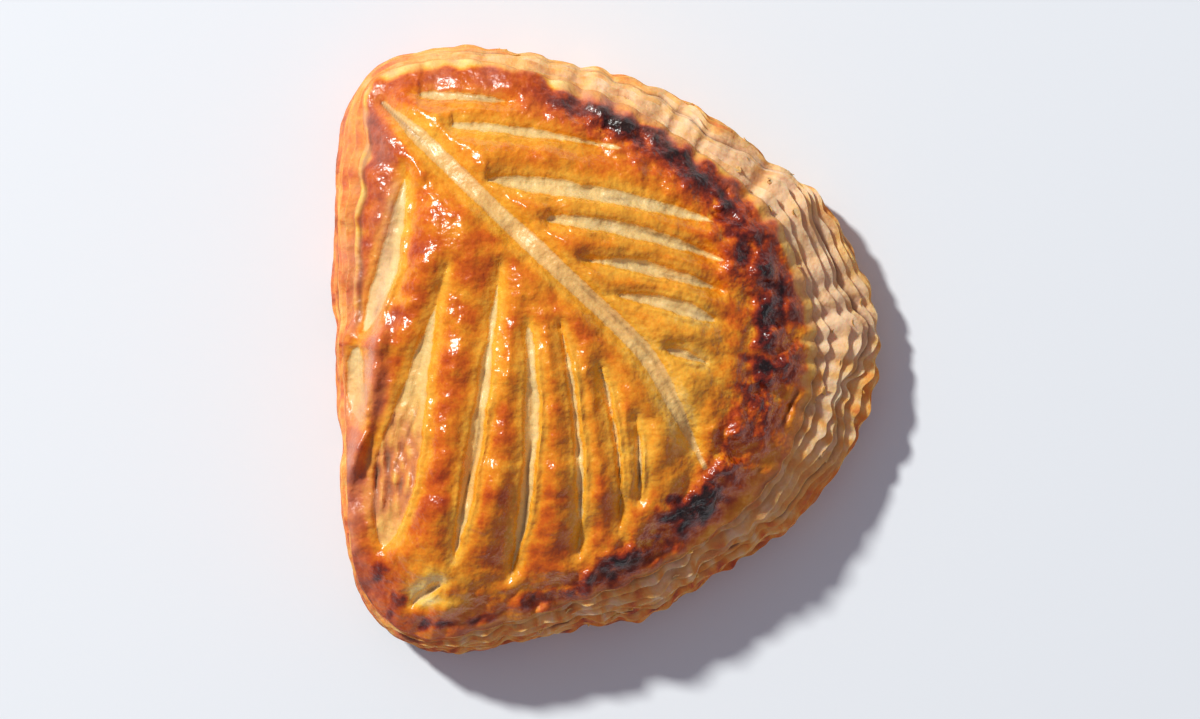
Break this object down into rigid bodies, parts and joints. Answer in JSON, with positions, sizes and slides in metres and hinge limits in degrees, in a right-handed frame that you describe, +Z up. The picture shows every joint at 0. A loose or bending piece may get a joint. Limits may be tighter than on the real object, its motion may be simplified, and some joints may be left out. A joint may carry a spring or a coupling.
{
  "type": "apple turnover",
  "caption": "Glazed puff pastry turnover with a rounded half-moon outline, a domed top scored like a leaf, fluted layered side and a flat base to rest on.",
  "frame": {"origin": "middle of the flat base's outline box, on the surface that the turnover rests on", "axes": "+Z up through the domed top; Y along the straight fold, which is on the -X side; +X towards the fluted curved edge"},
  "size_m": [0.1174, 0.13, 0.04],
  "materials": {
    "glazed_pastry": "golden brown egg-washed puff pastry, glossy on top, darker and scorched inside the sealed edge, pale and matt in the cuts and on the layered side"
  },
  "bodies": {
    "root": {"turnover": "glazed_pastry"}
  },
  "joints": []
}
